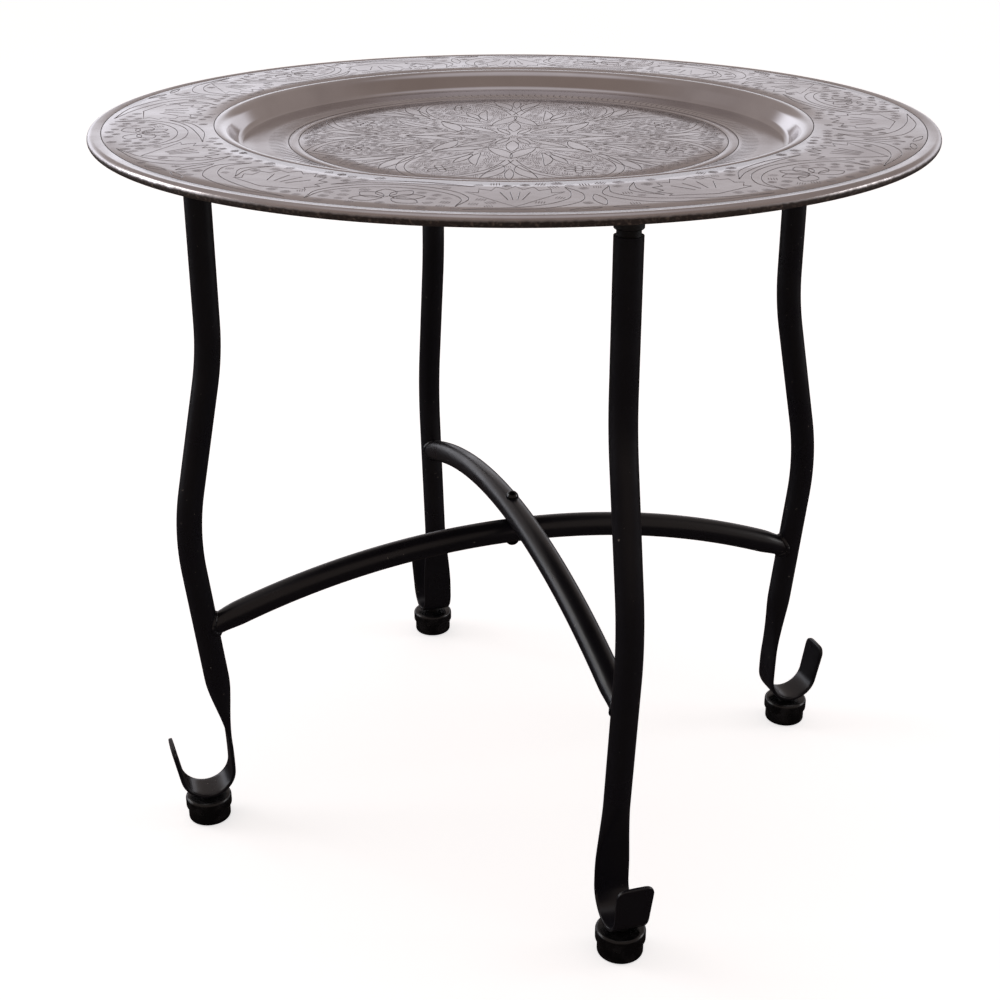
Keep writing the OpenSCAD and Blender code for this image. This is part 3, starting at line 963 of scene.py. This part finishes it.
def punch(name, mark, places, turns, sizes, seed, z):
    """Strikes the mark at every place, with its own turn (radians) and a size between two."""
    mesh = bpy.data.meshes.new(name)
    mesh.from_pydata([(x * MM, y * MM, z * MM) for x, y in places], [], [])
    turn = mesh.attributes.new("turn", "FLOAT", "POINT")
    turn.data.foreach_set("value", np.array(turns, np.float32))
    piece = new_object(name, mesh)
    run_tree(piece, MARKS, Mark=mark, Smallest=sizes[0], Largest=sizes[1], Seed=seed,
             Plate=plate_metal, Cut=punch_tarnish_and_shade)
    return ride_on_tray(piece)


def outward_angles(points):
    return np.arctan2(points[:, 1], points[:, 0])


# %% Crescents of the well
WELL_PITCH, WELL_JITTER = 4.75, 0.13
WELL_CLEAR, BAND_CLEAR, WELL_EDGE = 1.7, 1.9, 3.2     # kept clear of lines, bands and the circle
WELL_GRID_SEED, WELL_MARK_SEED = 11, 12


def well_marks():
    points = jittered_grid(GROOVES["band_in"] - WELL_EDGE, WELL_PITCH, WELL_JITTER, WELL_GRID_SEED)
    local = into_sector(points, SECTOR, STAR_TURN)
    bands = with_neighbours([arch_side(1), arch_side(-1)], SECTOR)
    blocked = near_lines(local, bands, BAND_HALF + BAND_CLEAR)
    blocked |= inside_or_near(local, with_neighbours(well_closed, SECTOR), WELL_CLEAR)
    kept = points[~blocked]
    dice = random.Random(WELL_MARK_SEED)
    turns = [a + dice.gauss(0, 0.35) + dice.choice((0, math.pi)) for a in outward_angles(kept)]
    return punch("tray_well_marks", scale_mark, kept, turns, (0.78, 1.15), WELL_MARK_SEED, WELL_Z)


well_marks()


# %% Combs of the flange
FLANGE_PITCH, FLANGE_JITTER = 8.6, 0.12
FLANGE_CLEAR, FLANGE_EDGE = 3.3, 4.2                  # kept clear of lines and of the circles
FLANGE_GRID_SEED, FLANGE_MARK_SEED = 21, 22


def flange_marks():
    points = jittered_grid(GROOVES["outer"] - FLANGE_EDGE, FLANGE_PITCH, FLANGE_JITTER,
                           FLANGE_GRID_SEED)
    points = points[np.linalg.norm(points, axis=1) > GROOVES["shoulder"] + FLANGE_EDGE]
    local = into_sector(points, REPEAT, FLANGE_TURN)
    blocked = inside_or_near(local, with_neighbours(flange_closed, REPEAT), FLANGE_CLEAR)
    kept = points[~blocked]
    dice = random.Random(FLANGE_MARK_SEED)
    turns = [a + dice.gauss(0, 0.5) for a in outward_angles(kept)]
    return punch("tray_flange_marks", comb, kept, turns, (0.85, 1.15), FLANGE_MARK_SEED, FLANGE_Z)


flange_marks()

# %% Commas of the border
COMMAS = 208
COMMA_R = 141.4
COMMA_LEAN = math.radians(16)
COMMA_SEED = 23


def border_marks():
    angles = [math.tau * k / COMMAS for k in range(COMMAS)]
    places = [(COMMA_R * math.cos(a), COMMA_R * math.sin(a)) for a in angles]
    turns = [a + COMMA_LEAN for a in angles]
    return punch("tray_border_marks", comma, places, turns, (0.95, 1.03), COMMA_SEED, WELL_Z)


border_marks()
for mark in (scale_mark, comb, comma):
    bpy.data.objects.remove(mark)

# %% [markdown]
# ## The wire in the rim
#
# The wire lies inside the rolled edge and only shows through the slit under the flange. Its CAD
# shape is right, so it keeps it and gets a drawn-steel finish.

# %% Rim wire
rim_wire_steel = coated_steel("drawn_wire", "#6E6A64", "#8C8880", 0.35, 0.5, 3.0, 0.62)
wire = frame["nodes"]["rim_wire"]
if not wire.material_slots:
    wire.data.materials.append(rim_wire_steel)
wire.material_slots[0].material = rim_wire_steel

# %% [markdown]
# ## Legs
#
# Each leg is one length of tube. It hangs straight down from the tray, bows outwards and back in,
# and then the maker pressed the last stretch flat and curled it up into a hook. A sweep tells
# that story best: one path in the leg's own upright plane, and a section that changes from a ring
# to a flat, round-edged strip along the way. The path is only straight lines and arcs.

# %% Leg path
TUBE_R = 7.95
STRIP_HALF = 1.4
STRIP_WIDE = 10.8
TIP_WIDE = 11.7
LEAN_OUT, LEAN_IN = 11.0, 6.4
CREST = (213.8, 210.0)
BEND_R, CREST_BEND_R = 200.0, 178.0
FLATTEN_Z, FLAT_Z = 105.0, 60.0
STRIP_R, HOOK_R, ARM_LEAN = 196.5, 17.0, 11.0
TIP_ROUND, TIP_Z = 6.0, 60.0
HOOK_STEPS = 28

rest_low, rest_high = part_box("rest_right")
_, leg_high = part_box("leg_right")
foot_low, foot_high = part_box("foot_right")
TOP_R = (rest_low.x + rest_high.x) / 2 / MM
TUBE_TOP_Z = leg_high.z / MM
FOOT_H = foot_high.z / MM
FOOT_R = (foot_low.x + foot_high.x) / 2 / MM
HOOK_Z = FOOT_H + 2 + STRIP_HALF + HOOK_R


def leg_path():
    """Stations down the leg: (distance from the middle, height, direction in degrees), where the
    direction is 0 straight down and grows as the path turns outwards and up."""
    out, back = math.radians(LEAN_OUT), math.radians(LEAN_IN)
    rise, slant = math.sin(out), math.tan(back)
    corner_z = CREST[1] + (CREST[0] - TOP_R) / math.tan(out)
    reach = BEND_R * math.tan(out / 2)
    crest_reach = CREST_BEND_R * math.tan((out + back) / 2)
    stations = [(TOP_R, TUBE_TOP_Z - 12 * k, 0) for k in range(8)]
    for k in range(9):
        a = out * k / 8
        stations.append((TOP_R + BEND_R * (1 - math.cos(a)),
                         corner_z + reach - BEND_R * math.sin(a), math.degrees(a)))
    start = (CREST[0] - crest_reach * rise, CREST[1] + crest_reach * math.cos(out))
    last = stations[-1]
    stations += [(last[0] + (start[0] - last[0]) * t, last[1] + (start[1] - last[1]) * t, LEAN_OUT)
                 for t in (0.33, 0.66)]
    middle = (start[0] - CREST_BEND_R * math.cos(out), start[1] - CREST_BEND_R * rise)
    for k in range(13):
        a = out - (out + back) * k / 12
        stations.append((middle[0] + CREST_BEND_R * math.cos(a),
                         middle[1] + CREST_BEND_R * math.sin(a), math.degrees(a)))
    # a long gentle curve from the tube's lean to the upright strip, then the round of the hook
    turn_z = FLATTEN_Z - (CREST[0] - (CREST[1] - FLATTEN_Z) * slant - STRIP_R) / slant
    half = turn_z - HOOK_Z
    z = stations[-1][1] - 9
    while z > HOOK_Z:
        if z > turn_z + half:
            stations.append((STRIP_R + (z - turn_z) * slant, z, -LEAN_IN))
        else:
            lean = math.atan(slant * (z - HOOK_Z) / (2 * half))
            stations.append((STRIP_R + (z - HOOK_Z) ** 2 * slant / (4 * half), z,
                             -math.degrees(lean)))
        z -= 9 if z > FLATTEN_Z + 6 else 1.8
    for k in range(HOOK_STEPS + 1):
        heading = (180 - ARM_LEAN) * k / HOOK_STEPS
        a = math.radians(heading)
        stations.append((STRIP_R + HOOK_R * (1 - math.cos(a)), HOOK_Z - HOOK_R * math.sin(a),
                         heading))
    return stations


def arm_stations(first, tip_z):
    """The free arm of the hook, with rings that close up towards its rounded end."""
    lean = math.radians(ARM_LEAN)
    length = (tip_z - first[1]) / math.cos(lean)
    places = [share * length for share in (0.15, 0.35, 0.55, 0.7)]
    places += [length - TIP_ROUND * (1 - math.sin(math.radians(a))) for a in range(0, 91, 10)]
    return [(first[0] + s * math.sin(lean), first[1] + s * math.cos(lean), first[2], s, length)
            for s in places]


def eased(t):
    t = min(max(t, 0), 1)
    return t * t * (3 - 2 * t)


def section(station, half_thick, half_wide, squareness, sides=40):
    """One ring in the leg's own plane: an ellipse that may be squared off, across the path."""
    r, z, heading = station[:3]
    a = math.radians(heading)
    across = (math.cos(a), math.sin(a))
    ring = []
    for k in range(sides):
        c, s = math.cos(2 * math.pi * k / sides), math.sin(2 * math.pi * k / sides)
        u = half_thick * math.copysign(abs(c) ** squareness, c)
        v = half_wide * math.copysign(abs(s) ** squareness, s)
        ring.append((r + u * across[0], v, z + u * across[1]))
    return ring


def leg_rings():
    path = leg_path()
    hook_start = len(path) - (HOOK_STEPS + 1)
    rings = []
    for i, station in enumerate(path):
        flat = widened = 1.0
        if i < hook_start:
            flat = eased((FLATTEN_Z - station[1]) / (FLATTEN_Z - FLAT_Z))
            widened = eased((FLATTEN_Z - 8 - station[1]) / 50)
        thick = TUBE_R + (STRIP_HALF - TUBE_R) * flat
        wide = TUBE_R + (STRIP_WIDE - TUBE_R) * widened
        rings.append(section(station, thick, wide, 1 - 0.62 * flat))
    for station in arm_stations(path[-1], TIP_Z):
        s, length = station[3:]
        wide = STRIP_WIDE + (TIP_WIDE - STRIP_WIDE) * s / length
        into = max(s - (length - TIP_ROUND), 0)
        wide -= TIP_ROUND - math.sqrt(max(TIP_ROUND ** 2 - into ** 2, 0))
        thick = STRIP_HALF * (1 - 0.35 * max(0, (s - length + 0.6) / 0.6))
        rings.append(section(station, thick, wide, 0.38))
    return rings


def placed(rings, direction):
    """Turns rings from the leg's own plane to where the leg stands."""
    c, s = math.cos(math.radians(direction)), math.sin(math.radians(direction))
    return [[(x * c - y * s, x * s + y * c, z) for x, y, z in ring] for ring in rings]


# %% Leg pieces
powder_black = coated_steel("satin_powder_coat", "#15141A", "#77726C", 0.24, 0.36, 0.9, 0.70)
base_rings = leg_rings()
for side, direction in LEGS.items():
    leg = skinned(f"leg_tube_{side}", placed(base_rings, direction), smooth_angle=40)
    finish_piece(leg, f"leg_{side}", powder_black)
print("leg rings:", len(base_rings))

# %% [markdown]
# ## Stretchers and their welds
#
# A stretcher is a tube bent to a shallow arch and cut to the shape of the leg it meets. Its end
# runs on inside the leg's wall here, where it can't be seen, and the seam is covered by the weld,
# as on the real one. The bead follows the true line where the two tubes meet. That line is found
# point by point round the tube, and the bead is a small ring swept along it with the ripples that
# a hand-held torch leaves.

# %% Arches
LOW_APEX_Z, LOW_ARCH_R = 182.8, 527.0
UP_APEX_Z, UP_ARCH_R = LOW_APEX_Z + 2 * TUBE_R + 0.3, 578.0
END_R, END_REACH = 6.9, 16.0


def arch_height(x, apex_z, arch_r):
    return apex_z - arch_r + math.sqrt(arch_r ** 2 - x * x)


def leg_axis_r(z):
    return CREST[0] - (CREST[1] - z) * math.tan(math.radians(LEAN_IN))


def meeting_r(apex_z, arch_r):
    r = CREST[0]
    for _ in range(8):
        r = leg_axis_r(arch_height(r, apex_z, arch_r))
    return r


def tube_r_at(distance):
    """The tube's ends are squeezed a little, over their last stretch, to fit against the leg."""
    return TUBE_R - (TUBE_R - END_R) * eased(1 - distance / END_REACH)


def arch_rings(apex_z, arch_r, sides=40, steps=96):
    half = math.asin(meeting_r(apex_z, arch_r) / arch_r)
    rings = []
    for i in range(steps + 1):
        a = half * math.sin(math.pi * (i / steps - 0.5))
        tube_r = tube_r_at((half - abs(a)) * arch_r - TUBE_R)
        ring = []
        for k in range(sides):
            b = 2 * math.pi * k / sides
            reach = arch_r + tube_r * math.cos(b)
            ring.append((reach * math.sin(a), tube_r * math.sin(b),
                         apex_z - arch_r + reach * math.cos(a)))
        rings.append(ring)
    return rings


# %% Welds
BEAD_R = 1.5
BEAD_FLAT = 0.72      # the bead stands out from the seam less than it spreads beside it
RIPPLES = 20
SEAM_STEPS = 132
BEAD_SIDES = 14


def bead_rings(apex_z, arch_r, seed):
    """A rippled bead along the line where the arch's end meets the +X leg."""
    dice = random.Random(seed)
    x = meeting_r(apex_z, arch_r)
    fall = math.asin(x / arch_r)
    end = np.array((x, 0, arch_height(x, apex_z, arch_r)))
    along = np.array((math.cos(fall), 0, -math.sin(fall)))
    up = np.array((math.sin(fall), 0, math.cos(fall)))
    side = np.array((0, 1.0, 0))
    lean = math.radians(LEAN_IN)
    axis = np.array((math.sin(lean), 0, math.cos(lean)))
    seam, outward = [], []
    for k in range(SEAM_STEPS):
        a = 2 * math.pi * k / SEAM_STEPS
        radial = up * math.cos(a) + side * math.sin(a)
        p = radial * END_R
        flat_p, flat_d = p - axis * (p @ axis), along - axis * (along @ axis)
        qa, qb, qc = flat_d @ flat_d, 2 * flat_p @ flat_d, flat_p @ flat_p - TUBE_R ** 2
        s = (-qb - math.sqrt(max(qb * qb - 4 * qa * qc, 0))) / (2 * qa)
        seam.append(end + p + along * s)
        outward.append(radial - along)
    seam, outward = np.array(seam), np.array(outward)
    tangent = np.roll(seam, -1, 0) - np.roll(seam, 1, 0)
    rings = []
    for k in range(SEAM_STEPS):
        t = tangent[k] / np.linalg.norm(tangent[k])
        n = outward[k] - t * (outward[k] @ t)
        n /= np.linalg.norm(n)
        b = np.cross(t, n)
        ripple = 0.13 * abs(math.sin(math.pi * RIPPLES * k / SEAM_STEPS))
        size = BEAD_R * (1 + ripple + 0.03 * dice.uniform(-1, 1))
        ring = []
        for j in range(BEAD_SIDES):
            a = 2 * math.pi * j / BEAD_SIDES
            ring.append(tuple(seam[k] + size * (n * BEAD_FLAT * math.cos(a) + b * math.sin(a))))
        rings.append(ring)
    return rings


for level, apex_z, arch_r, direction, seed in (("lower", LOW_APEX_Z, LOW_ARCH_R, 0, 31),
                                               ("upper", UP_APEX_Z, UP_ARCH_R, 90, 32)):
    tube = skinned(f"stretcher_tube_{level}", placed(arch_rings(apex_z, arch_r), direction))
    finish_piece(tube, f"{level}_stretcher", powder_black)
    beads = [skinned("bead", placed(bead_rings(apex_z, arch_r, seed + k), direction + 180 * k),
                     closed=True, smooth_angle=60) for k in (0, 1)]
    finish_piece(join_pieces(f"weld_beads_{level}", beads), f"{level}_welds", powder_black)

# %% [markdown]
# ## The pivot rivet
#
# One rivet holds the two frames together and lets them fold. Its head was struck round, so it is
# the outline of a low dome with a slight skirt, turned on the lathe. It is shinier than the tubes,
# since it was painted by hand after assembly.

# %% Rivet
gloss_black = coated_steel("gloss_black_lacquer", "#070708", "#77726C", 0.12, 0.2, 1.4, 0.8)
rivet_low, rivet_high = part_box("pivot_rivet")
RIVET_TOP_Z, RIVET_FOOT_Z = rivet_high.z / MM, rivet_low.z / MM
HEAD_R = rivet_high.x / MM
SHANK_R = 2.5
HEAD_H, TAIL_H = 4.0, 2.4


def dome(height, tip_z, up):
    """The outline of a round head: to its tip if it points up, from its tip if it points down."""
    ball = (HEAD_R ** 2 + height ** 2) / (2 * height)
    sweep = math.degrees(math.asin(HEAD_R / ball))
    if up:
        return arc_points((0, tip_z - ball), ball, 90 - sweep, 90, 14)[:-1] + [(0, tip_z)]
    return [(0, tip_z)] + arc_points((0, tip_z + ball), ball, 270, 270 + sweep, 14)[1:]


def rivet_outline():
    top = dome(HEAD_H, RIVET_TOP_Z, True)
    low = dome(TAIL_H, RIVET_FOOT_Z, False)
    shank_low, shank_high = RIVET_FOOT_Z + TAIL_H, RIVET_TOP_Z - HEAD_H - 1.4
    return low + [(SHANK_R, shank_low), (SHANK_R, shank_high), (HEAD_R - 0.3, shank_high)] + top


finish_piece(turned("rivet_domed", rivet_outline(), 48), "pivot_rivet", gloss_black)

# %% [markdown]
# ## Rubber rests and feet
#
# Each leg ends at the top in a rubber plug with a neck and a thick head, which the tray sits on,
# and at the bottom in a stepped rubber foot on a steel stud. All are turned outlines. The feet
# get the step and the rounded edges that catch the light near the floor.

# %% Rests
rest_rubber = moulded_rubber("moulded_rubber_rest", "#0C0C0D", "#2E2C2B", 0.42, 0.6)
foot_rubber = moulded_rubber("moulded_rubber_foot", "#0B0B0D", "#232224", 0.16, 0.34)
stud_black = coated_steel("blackened_stud", "#151516", "#6B6762", 0.25, 0.4, 1.2, 0.78)


def rest_outline():
    top, neck_r, head_r, edge = rest_high.z / MM, 6.5, 8.0, 1.6
    foot = rest_low.z / MM
    outline = [(0, foot), (neck_r - 0.6, foot), (neck_r, foot + 0.8), (neck_r, TUBE_TOP_Z + 3.2)]
    outline += [(head_r - 0.5, TUBE_TOP_Z + 3.5), (head_r, TUBE_TOP_Z + 4.0)]
    outline += arc_points((head_r - edge, top - edge), edge, 0, 90, 6)
    return outline + [(0, top)]


def foot_outline():
    low_r, ring_r, low_h = 13.9, 15.15, 8.6
    outline = [(0, 0), (low_r - 4, 0)] + arc_points((low_r - 2.2, 2.2), 2.2, 285, 360, 6)
    outline += [(low_r, 5.0), (low_r, low_h), (low_r + 0.1, low_h + 0.7)]
    outline += arc_points((ring_r - 1.4, low_h + 2.2), 1.4, 290, 360, 6)
    outline += arc_points((ring_r - 2.4, FOOT_H - 2.4), 2.4, 0, 90, 8)
    return outline + [(6.5, FOOT_H), (6.2, FOOT_H - 0.5), (0, FOOT_H - 0.5)]


def stud_outline():
    """Only the collar shows: it fills the gap between the rubber and the curved strip."""
    return [(0, FOOT_H - 11), (3, FOOT_H - 11), (3, FOOT_H), (5.7, FOOT_H), (6, FOOT_H + 0.3),
            (6, FOOT_H + 2.2), (5.6, FOOT_H + 2.7), (0, FOOT_H + 2.7)]


for side, direction in LEGS.items():
    c, s = math.cos(math.radians(direction)), math.sin(math.radians(direction))
    under_hook = (FOOT_R * c, FOOT_R * s)
    finish_piece(turned(f"rubber_rest_{side}", rest_outline(), 48, (TOP_R * c, TOP_R * s)),
                 f"rest_{side}", rest_rubber)
    finish_piece(turned(f"rubber_foot_{side}", foot_outline(), 72, under_hook),
                 f"foot_{side}", foot_rubber)
    finish_piece(turned(f"stud_collar_{side}", stud_outline(), 40, under_hook),
                 f"foot_stud_{side}", stud_black)
